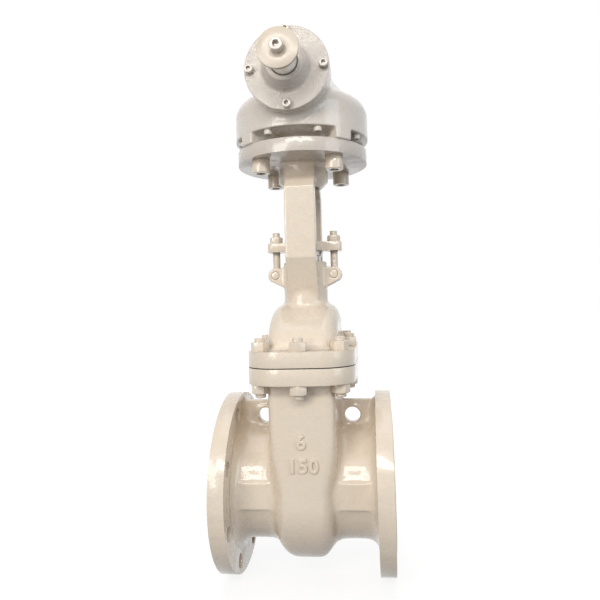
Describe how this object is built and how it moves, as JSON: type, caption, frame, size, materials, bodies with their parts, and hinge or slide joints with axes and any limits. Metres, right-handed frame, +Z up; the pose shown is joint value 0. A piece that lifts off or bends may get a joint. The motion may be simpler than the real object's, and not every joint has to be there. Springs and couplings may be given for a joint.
{
  "type": "gate valve",
  "caption": "Flanged cast steel wedge gate valve with outside screw and yoke and a bevel gear operator with a bare input shaft, painted cream.",
  "frame": {"origin": "centre of the inlet pipe flange's raised face", "axes": "+X along the pipe into the valve, +Z up the stem, the input shaft points to -Y"},
  "size_m": [0.2667, 0.3523, 0.8557],
  "materials": {
    "cream_paint": "gloss enamel over cast steel",
    "bare_steel": "machined",
    "gasket": "graphite sheet",
    "packing": "graphite rings",
    "bronze": "machined",
    "seal": "lip seal"
  },
  "bodies": {
    "valve": {"valve_body": "cream_paint", "seat_ring_inlet": "bare_steel", "seat_ring_outlet": "bare_steel", "wedge": "bare_steel", "stem": "bare_steel", "bonnet_gasket": "gasket", "bonnet": "cream_paint", "yoke_arms": "cream_paint", "yoke_head": "cream_paint", "bonnet_studs": "cream_paint", "bonnet_nuts_upper": "cream_paint", "bonnet_nuts_lower": "cream_paint", "packing": "packing", "gland_follower": "bare_steel", "gland_flange": "cream_paint", "eyebolts": "cream_paint", "eyebolt_pins": "cream_paint", "gland_nuts": "cream_paint", "drive_sleeve": "bronze", "gear_base": "cream_paint", "base_screws": "cream_paint", "yoke_screws": "cream_paint", "gear_housing": "cream_paint", "input_cover": "cream_paint", "cover_screws": "cream_paint", "shaft_seal": "seal", "stem_cover": "cream_paint", "stem_cover_screws": "cream_paint"},
    "input_shaft": {"input_shaft": "bare_steel", "shaft_washer": "cream_paint", "shaft_screw": "cream_paint"}
  },
  "joints": [
    {"name": "input_shaft_turn", "type": "hinge", "parent": "valve", "child": "input_shaft", "pos_m": [0.12888, -0.15994, 0.627], "axis": [-0.0279, -0.9996, 0], "continuous": true}
  ]
}
